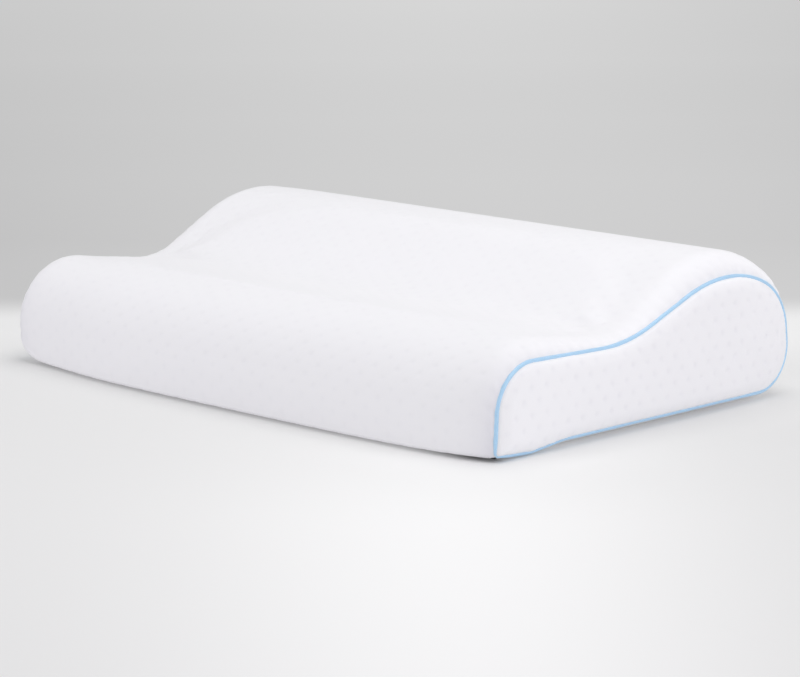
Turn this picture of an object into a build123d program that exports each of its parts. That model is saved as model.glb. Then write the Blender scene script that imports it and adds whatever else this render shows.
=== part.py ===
from build123d import *
import math
import os

# A contour bed pillow: a one-piece foam core inside a thin stretch liner, inside a knit cover
# with piped ends and a zip along the underside of the front edge. Millimetres. X runs along
# the pillow, Y from the low front lobe to the high rear lobe, and Z up. The origin is on the
# surface that the pillow rests on, under the middle of its bounding box.

# Lengths along X, all measured from the middle.
HALF_LENGTH = 300.0
SEAM_HALF_LENGTH = 293.0
SHOULDER_LENGTH = 22.0
END_CROWN_INSET = 12.0

# Layers, from the outside in.
COVER_THICKNESS = 2.5
LAYER_GAP = 0.3
LINER_THICKNESS = 0.8
LINER_DEPTH = COVER_THICKNESS + LAYER_GAP
FOAM_DEPTH = LINER_DEPTH + LINER_THICKNESS + LAYER_GAP

# How far the cover's front edge stands above the floor, to leave room for the zip.
ZIP_EDGE_LIFT = 3.0

# Section across the middle of the cover, as corners (y, z, rounding radius) in order round it.
MIDDLE_SECTION = (
    (-191.8, ZIP_EDGE_LIFT, 7.0),  # front foot
    (-198.4, 100.0, 57.0),  # front lobe
    (-26.8, 78.5, 83.0),  # valley
    (62.2, 128.5, 120.0),  # slope up to the rear lobe
    (128.2, 135.5, 104.0),  # rear lobe
    (189.2, 94.0, 68.0),  # top of the back
    (199.7, 0.0, 50.0),  # rear foot
    (-150.0, 0.0, 20.0),  # where the underside leaves the floor
    (-164.0, ZIP_EDGE_LIFT, 20.0),  # rear side of the zip
)

# The end seam, where the piping runs, with one corner for each corner of the middle section.
END_SECTION = (
    (-181.8, 4.6, 3.6),
    (-178.0, 76.0, 40.0),
    (-25.0, 72.0, 160.0),
    (76.0, 111.0, 150.0),
    (128.5, 111.5, 115.0),
    (180.5, 89.0, 54.0),
    (190.5, 6.4, 37.0),
    (-101.0, 6.4, 60.0),  # the seam sags towards the floor from here
    (-141.0, 2.3, 25.0),  # lowest point of the sag
)
UNDERSIDE_CORNERS = 2
FRONT_CORNERS = 2
SMALLEST_RADIUS = 0.8

# The front bows out in plan: this share of its way back to the end seam is spread along the
# whole length, and the rest is in the rounded shoulder.
FRONT_BOW_SHARE = 0.45
BOW_STEPS = 4
SHOULDER_STEPS = 6
CROWN_STEPS = 4

# Piping
PIPING_RADIUS = 1.85
PIPING_CORD_RADIUS = 1.2
PIPING_CLEARANCE = 0.05

# The bottom panel lies between the zip and the rear seam, and stays below this height.
REAR_SEAM_Y = 143.0
UNDERSIDE_TOP = 12.0

# Zip, along X under the front edge. The tapes lie on the hems, with the coil under them.
ZIP_Y = -176.0
ZIP_HALF_LENGTH = 290.5
ZIP_OPENING_WIDTH = 13.0
TAPE_WIDTH = 12.4
TAPE_THICKNESS = 0.6
TAPE_Z = 6.4
CHAIN_GAP = 1.2
CHAIN_HALF_LENGTH = 290.0
COIL_WIDTH = 2.0
COIL_HEIGHT = 1.6
COIL_TO_TAPE = 0.05
COIL_Z = TAPE_Z - COIL_TO_TAPE - COIL_HEIGHT
END_STOP_X = -267.5
END_STOP_LENGTH = 2.4

# Slider, at rest at the closed end, which is at +X. Its two plates hold the chain between them.
SLIDER_X = 285.0
SLIDER_LENGTH = 9.5
SLIDER_WIDTH = 7.5
SLIDER_PLATE = 0.75
SLIDER_FLANGE = 0.8
SLIDER_CLEARANCE = 0.3
SLIDER_CORNER_RADIUS = 2.5
SLIDER_NECK_WIDTH = 0.6
SLIDER_NECK_LENGTH = 2.6
LOWER_PLATE_Z = COIL_Z - SLIDER_CLEARANCE - SLIDER_PLATE
UPPER_PLATE_Z = TAPE_Z + TAPE_THICKNESS + SLIDER_CLEARANCE
BRIDGE_WIDTH = 2.0
BRIDGE_LENGTH = 7.0
BRIDGE_BAR = 0.65
BRIDGE_WINDOW = 1.75

# Pull tab, hinged on the slider's bridge, lying on the floor along -X
TAB_PIVOT_X = SLIDER_X - 2.0
TAB_PIVOT_Z = LOWER_PLATE_Z - BRIDGE_WINDOW / 2
TAB_DROOP = 4.2
TAB_BAR_RADIUS = 0.5
TAB_THICKNESS = 1.0
TAB_WIDTH = 6.0
TAB_LENGTH = 25.0
TAB_WINDOW_LENGTH = 5.0
TAB_WINDOW_WIDTH = 3.0
TAB_END_RADIUS = 2.0
GRIP_HOLE_LENGTH = 9.0
GRIP_HOLE_WIDTH = 2.4
GRIP_HOLE_FROM_END = 3.0

# Step in the liner and foam that leaves room above the zip
ZIP_ROOM_TOP = 9.0
ZIP_ROOM_REAR_Y = -142.0

# Reach of the blocks that cut the layers, well past the pillow on every side
BEYOND = 400.0


def moved_in(corners, depth):
    """Offsets a rounded outline inwards: its sides move in by depth and its roundings follow."""
    result = []
    count = len(corners)
    for index in range(count):
        before = Vector(*corners[index - 1][:2])
        here = Vector(*corners[index][:2])
        after = Vector(*corners[(index + 1) % count][:2])
        into = (here - before).normalized()
        out = (after - here).normalized()
        inward_before = Vector(into.Y, -into.X)
        inward_after = Vector(out.Y, -out.X)
        scale = depth / (1 + inward_before.dot(inward_after))
        corner = here + (inward_before + inward_after) * scale
        convex = into.X * out.Y - into.Y * out.X < 0
        radius = corners[index][2] - depth if convex else corners[index][2] + depth
        result.append((corner.X, corner.Y, max(radius, SMALLEST_RADIUS)))
    return result


def blended(middle, end, share, front_share):
    """Corners part of the way from the middle section to the end section. The front corners'
    y has its own share."""
    result = []
    for index, (one, other) in enumerate(zip(middle, end)):
        y, z, radius = [a + (b - a) * share for a, b in zip(one, other)]
        if index < FRONT_CORNERS:
            y = one[0] + (other[0] - one[0]) * front_share
        result.append((y, z, radius))
    return result


def outline(corners):
    """A closed outline of straight runs and tangent arcs."""
    points = [(y, z) for y, z, _ in corners]
    return FilletPolyline(*points, radius=[radius for _, _, radius in corners], close=True)


def section_face(corners, x):
    """The section's face, standing across the pillow at x."""
    return Plane.YZ.offset(x) * make_face(outline(corners))


def stations(middle, end, depth):
    """The sections from near the middle to the crown of the end, as (x, corners)."""
    inner_middle = moved_in(middle, depth)
    inner_end = moved_in(end, depth)
    seam_x = SEAM_HALF_LENGTH - depth
    shoulder_x = seam_x - (SHOULDER_LENGTH - depth)
    crown = HALF_LENGTH - SEAM_HALF_LENGTH
    places = [(shoulder_x * (step + 0.5) / BOW_STEPS, 0.0) for step in range(BOW_STEPS)]
    for step in range(SHOULDER_STEPS + 1):
        angle = math.pi / 2 * step / SHOULDER_STEPS
        x = shoulder_x + (seam_x - shoulder_x) * math.sin(angle)
        places.append((x, 1 - math.cos(angle)))
    result = []
    for x, share in places:
        bow = FRONT_BOW_SHARE * (x / seam_x) ** 2
        front_share = bow + (1 - FRONT_BOW_SHARE) * share
        result.append((x, blended(inner_middle, inner_end, share, front_share)))
    for step in range(1, CROWN_STEPS + 1):
        angle = math.pi / 2 * step / CROWN_STEPS
        inset = END_CROWN_INSET * (1 - math.cos(angle))
        result.append((seam_x + crown * math.sin(angle), moved_in(inner_end, inset)))
    return result


def pillow_solid(middle, end, depth):
    """The whole pillow's shape, smaller by depth on every side."""
    right = stations(middle, end, depth)
    faces = [section_face(corners, -x) for x, corners in reversed(right)]
    faces += [section_face(corners, x) for x, corners in right]
    return loft(faces, ruled=True)


def block(x_range, y_range, z_range):
    """An axis-aligned block from its ranges."""
    size = [high - low for low, high in (x_range, y_range, z_range)]
    low = (x_range[0], y_range[0], z_range[0])
    return Pos(*low) * Box(*size, align=(Align.MIN, Align.MIN, Align.MIN))


def inner_solid(depth):
    """A layer under the cover, which steps up over the zip."""
    middle = list(MIDDLE_SECTION[:-UNDERSIDE_CORNERS])
    end = list(END_SECTION[:-UNDERSIDE_CORNERS])
    middle[0] = (middle[0][0], middle[-1][1], middle[0][2])
    end[0] = (end[0][0], end[-1][1], end[0][2])
    extra = depth - LINER_DEPTH
    step = block(
        (-BEYOND, BEYOND), (-BEYOND, ZIP_ROOM_REAR_Y + extra), (-BEYOND, ZIP_ROOM_TOP + extra)
    )
    return pillow_solid(middle, end, depth) - step


def zip_opening():
    """The slot in the cover that the zip closes."""
    half_width = ZIP_OPENING_WIDTH / 2
    return block(
        (-ZIP_HALF_LENGTH, ZIP_HALF_LENGTH),
        (ZIP_Y - half_width, ZIP_Y + half_width),
        (-BEYOND, ZIP_ROOM_TOP),
    )


def seam_tube(x, radius):
    """A round cord along the end seam at x."""
    path = Plane.YZ.offset(x) * outline(END_SECTION)
    start = Plane(path @ 0, z_dir=path % 0)
    return sweep(start * Circle(radius), path=path)


def cover_panels():
    """The four panels of the knit cover, cut from one shell along its seams."""
    inside = pillow_solid(MIDDLE_SECTION, END_SECTION, COVER_THICKNESS)
    shell = pillow_solid(MIDDLE_SECTION, END_SECTION, 0) - inside
    for x in (-SEAM_HALF_LENGTH, SEAM_HALF_LENGTH):
        shell -= seam_tube(x, PIPING_RADIUS + PIPING_CLEARANCE)
    seams = (-SEAM_HALF_LENGTH, SEAM_HALF_LENGTH)
    everywhere = (-BEYOND, BEYOND)
    between_ends = block(seams, everywhere, everywhere)
    underside = block(seams, (ZIP_Y, REAR_SEAM_Y), (-BEYOND, UNDERSIDE_TOP))
    sides = shell & between_ends
    return {
        "top_panel": sides - underside - zip_opening(),
        "bottom_panel": (sides & underside) - zip_opening(),
        "left_end_panel": shell & block((-BEYOND, seams[0]), everywhere, everywhere),
        "right_end_panel": shell & block((seams[1], BEYOND), everywhere, everywhere),
    }


def piping(x):
    """The fabric sleeve and the cord inside it, along one end seam."""
    cord = seam_tube(x, PIPING_CORD_RADIUS)
    sleeve = seam_tube(x, PIPING_RADIUS) - seam_tube(x, PIPING_CORD_RADIUS + PIPING_CLEARANCE)
    return sleeve, cord


def liner_pieces(foam_room):
    """The stretch liner: a wrap closed by two end pieces."""
    shell = inner_solid(LINER_DEPTH) - foam_room
    seam = SEAM_HALF_LENGTH - LINER_DEPTH - LINER_THICKNESS
    everywhere = (-BEYOND, BEYOND)
    return {
        "liner_wrap": shell & block((-seam, seam), everywhere, everywhere),
        "liner_left_end": shell & block((-BEYOND, -seam), everywhere, everywhere),
        "liner_right_end": shell & block((seam, BEYOND), everywhere, everywhere),
    }


def zip_tape(side, room):
    """One woven tape of the zip, on the front (-1) or rear (+1) side of the chain."""
    near = ZIP_Y + side * CHAIN_GAP / 2
    far = near + side * TAPE_WIDTH
    strip = block(
        (-CHAIN_HALF_LENGTH, CHAIN_HALF_LENGTH),
        (min(near, far), max(near, far)),
        (TAPE_Z, TAPE_Z + TAPE_THICKNESS),
    )
    return strip & room


def zip_coil(side):
    """One side's coil, as a rounded bar along the tape's inner edge."""
    centre_y = ZIP_Y + side * (CHAIN_GAP + COIL_WIDTH) / 2
    profile = Plane.YZ * Pos(centre_y, COIL_Z + COIL_HEIGHT / 2) * SlotOverall(
        COIL_WIDTH, COIL_HEIGHT
    )
    start = END_STOP_X + END_STOP_LENGTH / 2
    return Pos(start, 0, 0) * extrude(profile, CHAIN_HALF_LENGTH - start)


def zip_end_stop():
    """The crimped stop across both coils at the open end."""
    reach = CHAIN_GAP / 2 + COIL_WIDTH
    return block(
        (END_STOP_X - END_STOP_LENGTH / 2, END_STOP_X + END_STOP_LENGTH / 2),
        (ZIP_Y - reach, ZIP_Y + reach),
        (COIL_Z, COIL_Z + COIL_HEIGHT),
    )


def slider_plate(z):
    """One of the slider's two plates, with rounded corners."""
    shape = RectangleRounded(SLIDER_LENGTH, SLIDER_WIDTH, SLIDER_CORNER_RADIUS)
    return Pos(SLIDER_X, ZIP_Y, z) * extrude(shape, SLIDER_PLATE)


def slider_flanges():
    """The lower plate's two upright sides, which keep the coils together."""
    half_width = SLIDER_WIDTH / 2
    low = LOWER_PLATE_Z + SLIDER_PLATE
    reach = SLIDER_LENGTH / 2 - SLIDER_CORNER_RADIUS
    flanges = []
    for side in (-1, 1):
        inner = side * (half_width - SLIDER_FLANGE)
        outer = side * half_width
        flanges.append(
            block(
                (SLIDER_X - reach, SLIDER_X + reach),
                (ZIP_Y + min(inner, outer), ZIP_Y + max(inner, outer)),
                (low, TAPE_Z - SLIDER_CLEARANCE),
            )
        )
    return flanges


def slider_bridge():
    """The arch under the lower plate that carries the pull tab."""
    low = LOWER_PLATE_Z - BRIDGE_WINDOW - BRIDGE_BAR
    y_range = (ZIP_Y - BRIDGE_WIDTH / 2, ZIP_Y + BRIDGE_WIDTH / 2)
    half_length = BRIDGE_LENGTH / 2
    arch = block(
        (SLIDER_X - half_length, SLIDER_X + half_length), y_range, (low, LOWER_PLATE_Z)
    )
    window = block(
        (SLIDER_X - half_length + BRIDGE_BAR, SLIDER_X + half_length - BRIDGE_BAR),
        y_range,
        (low + BRIDGE_BAR, LOWER_PLATE_Z),
    )
    return arch - window


def zip_slider():
    """The slider: two plates joined by a neck, with side flanges and a bridge."""
    neck_end = SLIDER_X + SLIDER_LENGTH / 2
    neck = block(
        (neck_end - SLIDER_NECK_LENGTH, neck_end),
        (ZIP_Y - SLIDER_NECK_WIDTH / 2, ZIP_Y + SLIDER_NECK_WIDTH / 2),
        (LOWER_PLATE_Z + SLIDER_PLATE, UPPER_PLATE_Z),
    )
    body = slider_plate(LOWER_PLATE_Z) + slider_plate(UPPER_PLATE_Z) + neck + slider_bridge()
    for flange in slider_flanges():
        body += flange
    return body


def zip_pull_tab():
    """The pull tab: a flat tab with a window at one end, closed by a bar through the bridge."""
    handle = RectangleRounded(TAB_LENGTH, TAB_WIDTH, TAB_END_RADIUS)
    window_end = Rectangle(TAB_WINDOW_LENGTH, TAB_WIDTH)
    window = Rectangle(TAB_WINDOW_LENGTH, TAB_WINDOW_WIDTH)
    grip = SlotOverall(GRIP_HOLE_LENGTH, GRIP_HOLE_WIDTH)
    pivot_end = TAB_BAR_RADIUS
    window_x = pivot_end - TAB_WINDOW_LENGTH / 2
    grip_x = pivot_end - TAB_LENGTH + GRIP_HOLE_FROM_END + GRIP_HOLE_LENGTH / 2
    flat = Pos(pivot_end - TAB_LENGTH / 2, 0) * handle + Pos(window_x, 0) * window_end
    flat -= Pos(window_x, 0) * window
    flat -= Pos(grip_x, 0) * grip
    plate = extrude(flat, TAB_THICKNESS / 2, both=True)
    bar_length = (TAB_WINDOW_WIDTH + TAB_WIDTH) / 2
    bar = Rot(90, 0, 0) * Cylinder(TAB_BAR_RADIUS, bar_length)
    return Pos(TAB_PIVOT_X, ZIP_Y, TAB_PIVOT_Z) * Rot(0, -TAB_DROOP, 0) * (plate + bar)


def all_pieces():
    """Every node's name and shape."""
    foam_room = inner_solid(LINER_DEPTH + LINER_THICKNESS)
    tape_room = pillow_solid(MIDDLE_SECTION, END_SECTION, COVER_THICKNESS + PIPING_CLEARANCE)
    pieces = {"foam_core": inner_solid(FOAM_DEPTH)}
    pieces.update(liner_pieces(foam_room))
    pieces.update(cover_panels())
    for name, x in (("left", -SEAM_HALF_LENGTH), ("right", SEAM_HALF_LENGTH)):
        sleeve, cord = piping(x)
        pieces[f"{name}_piping"] = sleeve
        pieces[f"{name}_piping_cord"] = cord
    for name, side in (("front", -1), ("rear", 1)):
        pieces[f"zip_tape_{name}"] = zip_tape(side, tape_room)
        pieces[f"zip_coil_{name}"] = zip_coil(side)
    pieces["zip_end_stop"] = zip_end_stop()
    pieces["zip_slider"] = zip_slider()
    pieces["zip_pull_tab"] = zip_pull_tab()
    return pieces


os.makedirs("parts", exist_ok=True)
for node, shape in all_pieces().items():
    export_step(shape, f"parts/{node}.step")
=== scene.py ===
import math

import bmesh
import bpy
import numpy as np
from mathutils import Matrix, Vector
from mathutils.geometry import delaunay_2d_cdt


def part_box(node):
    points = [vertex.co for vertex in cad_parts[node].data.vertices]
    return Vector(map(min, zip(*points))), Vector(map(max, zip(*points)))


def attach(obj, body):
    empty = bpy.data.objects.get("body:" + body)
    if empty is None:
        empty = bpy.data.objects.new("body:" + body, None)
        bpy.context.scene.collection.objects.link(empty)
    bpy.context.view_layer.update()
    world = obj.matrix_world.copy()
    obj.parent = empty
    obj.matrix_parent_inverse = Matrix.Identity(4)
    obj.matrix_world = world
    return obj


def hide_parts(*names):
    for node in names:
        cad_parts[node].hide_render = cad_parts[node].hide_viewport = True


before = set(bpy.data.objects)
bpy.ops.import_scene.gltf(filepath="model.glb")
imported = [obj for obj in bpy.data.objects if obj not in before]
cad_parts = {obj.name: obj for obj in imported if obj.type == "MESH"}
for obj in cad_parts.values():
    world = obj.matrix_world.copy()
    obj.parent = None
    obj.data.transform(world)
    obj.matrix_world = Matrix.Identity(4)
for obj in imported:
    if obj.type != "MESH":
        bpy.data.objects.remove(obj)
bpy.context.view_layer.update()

# The looks of a contour bed pillow: a knit cover with piped ends, over a liner and a foam core,
# with a zip under the front edge. The shapes are worked out in millimetres in the part's own
# frame, and MM turns them into metres. A TURN says where something begins and where it is full,
# and a PLACE gives the middle and the width of a smooth hump.
MM = 0.001

# The cover's section across the middle and along the end seam, as in the part:
# (y, z, rounding radius), in order round it.
MIDDLE_SECTION = (
    (-191.8, 3.0, 4.6),  # front foot
    (-198.4, 100.0, 57.0),  # front lobe
    (-26.8, 78.5, 83.0),  # valley
    (62.2, 128.5, 120.0),  # slope up to the rear lobe
    (128.2, 135.5, 104.0),  # rear lobe
    (189.2, 94.0, 68.0),  # top of the back
    (199.7, 0.0, 50.0),  # rear foot
    (-150.0, 0.0, 20.0),  # where the underside leaves the floor
    (-164.0, 3.0, 20.0),  # rear side of the zip
)
END_SECTION = (
    (-181.8, 4.6, 3.6),
    (-178.0, 76.0, 40.0),
    (-25.0, 72.0, 160.0),
    (76.0, 111.0, 150.0),
    (128.5, 111.5, 115.0),
    (180.5, 89.0, 54.0),
    (190.5, 6.4, 37.0),
    (-101.0, 6.4, 60.0),
    (-141.0, 2.3, 25.0),
)
# The left end is tucked in a little further at the front than the right end.
LEFT_END_FRONT = ((-177.6, 5.0, 5.0), (-172.5, 75.5, 42.0))
LEFT_END_SECTION = LEFT_END_FRONT + END_SECTION[2:]
# Counts of the corners at the front and on the underside, and which one is the rear foot
FRONT_CORNERS = 2
UNDERSIDE_CORNERS = 2
REAR_FOOT = 6
SMALLEST_RADIUS = 0.8
ARC_POINTS = 24

SEAM_X = 293.0
SHOULDER_LENGTH = 22.0
FRONT_BOW_SHARE = 0.45
CROWN_HEIGHT = 7.0
CROWN_INSET = 12.0
COVER_THICKNESS = 2.5
# How deep the inner layers lie under the cover's face, and the step in them over the zip
LINER_DEPTH = 2.8
LINER_INNER_DEPTH = 3.6
FOAM_DEPTH = 3.9
STEP_TOP = 9.0
STEP_REAR_Y = -142.0
PIPING_RADIUS = 1.85
CORD_RADIUS = 1.2

# Where the side panels end, at the zip and at the rear seam
ZIP_Y = -176.0
HEM_FRONT_Y = -182.5
HEM_LEAST_WIDTH = 2.2
HEM_REAR_Y = -169.5
REAR_SEAM_Y = 143.0

# The knit's dimples, in centred rows: the repeat along the cloth and across it
WRAP_REPEAT = (24.0, 16.4)
END_REPEAT = (17.5, 22.4)
CENTRED_ROWS = (0.0, 0.5)
DIMPLE_RADIUS = 2.6
WRAP_DIMPLE_DEPTH = 0.28
END_DIMPLE_DEPTH = 0.38
# Each dimple's own depth: the mean, how much it differs, and what scatters it from row to row
DIMPLE_MEAN = 0.85
DIMPLE_VARIATION = 0.3
DIMPLE_SCATTER = (12.9898, 78.233)

# The grids on the side panels. Their rows come in groups, so that a thinned grid ends on the
# last row too.
COLUMN_STEP = 2.4
ROW_STEP = 2.05
ROW_GROUP = 8
SHOULDER_COLUMNS = 13
INNER_SKIP = 4


# --- Small helpers ---

def smooth_step(value, low, high):
    """0 below low, 1 above high, and an even curve between them."""
    t = np.clip((value - low) / (high - low), 0, 1)
    return t * t * (3 - 2 * t)


def hump(value, middle, width):
    """A smooth hump of height 1 round the middle."""
    return np.exp(-(((value - middle) / width) ** 2))


def unit(vectors):
    """The same vectors, each of length 1."""
    return vectors / np.linalg.norm(vectors, axis=-1, keepdims=True)


def run_along(path):
    """The length run along a path at each of its points."""
    return np.concatenate([[0], np.cumsum(np.linalg.norm(np.diff(path, axis=0), axis=1))])


# --- Outlines ---

def moved_in(corners, depth):
    """Offsets a rounded outline inwards: its sides move in by depth and its roundings follow."""
    result = []
    spots = [Vector(corner[:2]) for corner in corners]
    for index, here in enumerate(spots):
        into = (here - spots[index - 1]).normalized()
        out = (spots[(index + 1) % len(spots)] - here).normalized()
        inward_before = Vector((into.y, -into.x))
        inward_after = Vector((out.y, -out.x))
        scale = depth / (1 + inward_before.dot(inward_after))
        corner = here + (inward_before + inward_after) * scale
        convex = into.x * out.y - into.y * out.x < 0
        radius = corners[index][2] + (-depth if convex else depth)
        result.append((corner.x, corner.y, max(radius, SMALLEST_RADIUS)))
    return result


def corner_arc(before, here, after, radius):
    """Points round one corner."""
    into = unit(here - before)
    out = unit(after - here)
    turn = math.atan2(into[0] * out[1] - into[1] * out[0], into @ out)
    side = math.copysign(1.0, turn)
    start = here - into * radius * math.tan(abs(turn) / 2)
    centre = start + side * radius * np.array([-into[1], into[0]])
    arm = start - centre
    angles = np.linspace(0, turn, ARC_POINTS + 1)
    cosines, sines = np.cos(angles), np.sin(angles)
    y = centre[0] + arm[0] * cosines - arm[1] * sines
    z = centre[1] + arm[0] * sines + arm[1] * cosines
    return np.stack([y, z], axis=1)


def outline(corners):
    """A closed rounded outline that starts and ends at the middle of the last corner's rounding.
    Returns its points, the length run at each, and the index of each rounding's middle."""
    spots = [np.array(corner[:2]) for corner in corners]
    count = len(spots)
    arcs = [
        corner_arc(spots[k - 1], spots[k], spots[(k + 1) % count], corners[k][2])
        for k in range(count)
    ]
    half = ARC_POINTS // 2
    points = np.concatenate([arcs[-1][half:], *arcs[:-1], arcs[-1][: half + 1]])
    first = len(arcs[-1]) - half
    middles = [first + k * (ARC_POINTS + 1) + half for k in range(count - 1)]
    return points, run_along(points), middles + [len(points) - 1]


def shoulder_share(x, depth=0.0):
    """How far the section at x has gone from the middle's shape to the end seam's, 0 to 1."""
    seam_x = SEAM_X - depth
    shoulder_x = SEAM_X - SHOULDER_LENGTH
    past = np.clip((abs(x) - shoulder_x) / (seam_x - shoulder_x), 0, 1)
    return 1 - math.sqrt(1 - past * past)


def end_section(x):
    """The corners of the end seam on that side."""
    return LEFT_END_SECTION if x < 0 else END_SECTION


def section(x, depth=0.0, layer=None):
    """The section's corners at x, moved in by depth. layer changes the corners first."""
    middle, end = MIDDLE_SECTION, end_section(x)
    if layer is not None:
        middle, end = layer(middle), layer(end)
    share = shoulder_share(x, depth)
    bow = FRONT_BOW_SHARE * (x / (SEAM_X - depth)) ** 2
    front_share = bow + (1 - FRONT_BOW_SHARE) * share
    corners = []
    for k, (one, other) in enumerate(zip(moved_in(middle, depth), moved_in(end, depth))):
        y, z, radius = [a + (b - a) * share for a, b in zip(one, other)]
        if k < FRONT_CORNERS:
            y = one[0] + (other[0] - one[0]) * front_share
        corners.append((y, z, radius))
    return corners


def marks(corners):
    """The outline, and the lengths along it of what sections have in common: the front hem, the
    corners as far as the rear foot, the rear seam, the underside's corners, and the rear hem."""
    points, run, middles = outline(corners)
    front = middles[0] + 1
    hem_front_y = max(HEM_FRONT_Y, corners[0][0] + HEM_LEAST_WIDTH)
    rear_hem, front_hem = np.interp([-HEM_REAR_Y, -hem_front_y], -points[:front, 0], run[:front])
    before, after = middles[: REAR_FOOT + 1], middles[REAR_FOOT + 1 :]
    rear = slice(before[-1], after[0] + 1)
    seam = np.interp(-REAR_SEAM_Y, -points[rear, 0], run[rear])
    return points, run, [front_hem, *run[before], seam, *run[after], run[-1] + rear_hem]


def along(points, run, lengths):
    """Points at these lengths along a closed outline."""
    lengths = np.mod(lengths, run[-1])
    return np.stack([np.interp(lengths, run, points[:, k]) for k in (0, 1)], axis=1)


def at_x(x, flat):
    """Flat points (y, z) as points in 3D."""
    return np.column_stack([np.full(len(flat), x), flat])


def end_outline(side, step):
    """Even points round the end seam on that side, about a step apart."""
    points, run, _ = outline(end_section(side))
    return along(points, run, np.linspace(0, run[-1], int(run[-1] / step) + 1)[:-1])


# --- Grids on the cover's two side panels ---

# The marks that each side panel runs between
WRAP_MARKS = slice(0, 9)
BOTTOM_MARKS = slice(8, 12)


def columns():
    """The x of every column of the grid, closer together round the shoulders."""
    shoulder_x = SEAM_X - SHOULDER_LENGTH
    count = 2 * round(shoulder_x / COLUMN_STEP)
    flat = np.linspace(-shoulder_x, shoulder_x, count + 1)
    angles = np.linspace(0, math.pi / 2, SHOULDER_COLUMNS + 1)[1:]
    curved = shoulder_x + SHOULDER_LENGTH * np.sin(angles)
    return np.concatenate([-curved[::-1], flat, curved])


def panel_grid(which, skip=1):
    """A grid over one side panel, as positions (row, column, xyz), with the length down to each
    row. skip thins it out, to one row and one column in so many."""
    x_values = columns()[::skip]
    middle_marks = np.array(marks(section(0.0))[2][which])
    groups = int((middle_marks[-1] - middle_marks[0]) / ROW_STEP / ROW_GROUP)
    rows = groups * ROW_GROUP + 1
    lengths = np.linspace(middle_marks[0], middle_marks[-1], rows)[::skip]
    grid = np.zeros((len(lengths), len(x_values), 3))
    for column, x in enumerate(x_values):
        points, run, own_marks = marks(section(x))
        own = np.interp(lengths, middle_marks, own_marks[which])
        grid[:, column, 0] = x
        grid[:, column, 1:] = along(points, run, own)
    return grid, lengths


def normals_of(grid):
    """Outward normals of a grid."""
    return unit(np.cross(np.gradient(grid, axis=1), np.gradient(grid, axis=0)))


def cloth_lengths(grid):
    """The length along each row, from the middle column."""
    steps = np.linalg.norm(np.diff(grid, axis=1), axis=2)
    run = np.concatenate([np.zeros((len(grid), 1)), np.cumsum(steps, axis=1)], axis=1)
    return run - run[:, [grid.shape[1] // 2]]


def dimples(u, v, repeat):
    """How deep each point lies in a dimple, 0 to 1. Each dimple's depth differs a little."""
    deepest = np.zeros_like(u)
    for shift in CENTRED_ROWS:
        a = u / repeat[0] + shift
        b = v / repeat[1] + shift
        off_u = (a - np.round(a)) * repeat[0]
        off_v = (b - np.round(b)) * repeat[1]
        scatter = DIMPLE_SCATTER[0] * np.round(a) + DIMPLE_SCATTER[1] * np.round(b) + shift
        own = DIMPLE_MEAN + DIMPLE_VARIATION * np.sin(scatter)
        hollow = own * np.exp(-(off_u**2 + off_v**2) / DIMPLE_RADIUS**2)
        deepest = np.maximum(deepest, hollow)
    return deepest


# --- Mesh building ---

def linked(name, data):
    """A new object in the scene that holds this data."""
    made = bpy.data.objects.new(name, data)
    bpy.context.scene.collection.objects.link(made)
    return made


def make_object(name, points, faces, uv=None):
    """A smooth mesh object from points in millimetres, with a UV map in metres."""
    mesh = bpy.data.meshes.new(name)
    mesh.from_pydata((np.asarray(points) * MM).tolist(), [], faces)
    if uv is not None:
        layer = mesh.uv_layers.new(name="cloth")
        corners = np.zeros(len(mesh.loops), dtype=np.int32)
        mesh.loops.foreach_get("vertex_index", corners)
        layer.data.foreach_set("uv", (np.asarray(uv)[corners] * MM).ravel())
    mesh.polygons.foreach_set("use_smooth", [True] * len(mesh.polygons))
    mesh.update()
    return linked(name, mesh)


def closed_object(name, points, faces):
    """A mesh object with every face turned outwards."""
    made = make_object(name, points, faces)
    mesh = bmesh.new()
    mesh.from_mesh(made.data)
    bmesh.ops.recalc_face_normals(mesh, faces=mesh.faces)
    mesh.to_mesh(made.data)
    mesh.free()
    return made


def joined(parts):
    """The points and faces of several meshes as one mesh's."""
    points, faces = [], []
    total = 0
    for own_points, own_faces in parts:
        points.append(own_points)
        faces += [[total + k for k in face] for face in own_faces]
        total += len(own_points)
    return np.concatenate(points), faces


def grid_faces(rows, count):
    """Quads over a grid of rows times count points, facing the same way as normals_of."""
    index = np.arange(rows * count).reshape(rows, count)
    quads = np.stack([index[:-1, :-1], index[:-1, 1:], index[1:, 1:], index[1:, :-1]], axis=-1)
    return quads.reshape(-1, 4).tolist()


def coarse_faces(rows, count):
    """Larger faces over the same grid, turned the other way, which keep every point of its
    border."""
    row_marks = [*range(0, rows - 1, INNER_SKIP), rows - 1]
    column_marks = [*range(0, count - 1, INNER_SKIP), count - 1]
    faces = []
    for top, low in zip(row_marks, row_marks[1:]):
        for left, right in zip(column_marks, column_marks[1:]):
            ring = [(top, c) for c in (range(left, right) if top == 0 else [left])]
            ring += [(r, right) for r in (range(top, low) if right == count - 1 else [top])]
            ring += [(low, c) for c in (range(right, left, -1) if low == rows - 1 else [right])]
            ring += [(r, left) for r in (range(low, top, -1) if left == 0 else [low])]
            faces.append([r * count + c for r, c in reversed(ring)])
    return faces


def grid_border(rows, count):
    """The indexes round a grid's border, in the order of its faces."""
    top = list(range(count))
    right = [r * count + count - 1 for r in range(1, rows)]
    low = [(rows - 1) * count + c for c in range(count - 2, -1, -1)]
    left = [r * count for r in range(rows - 2, 0, -1)]
    return top + right + low + left


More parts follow.
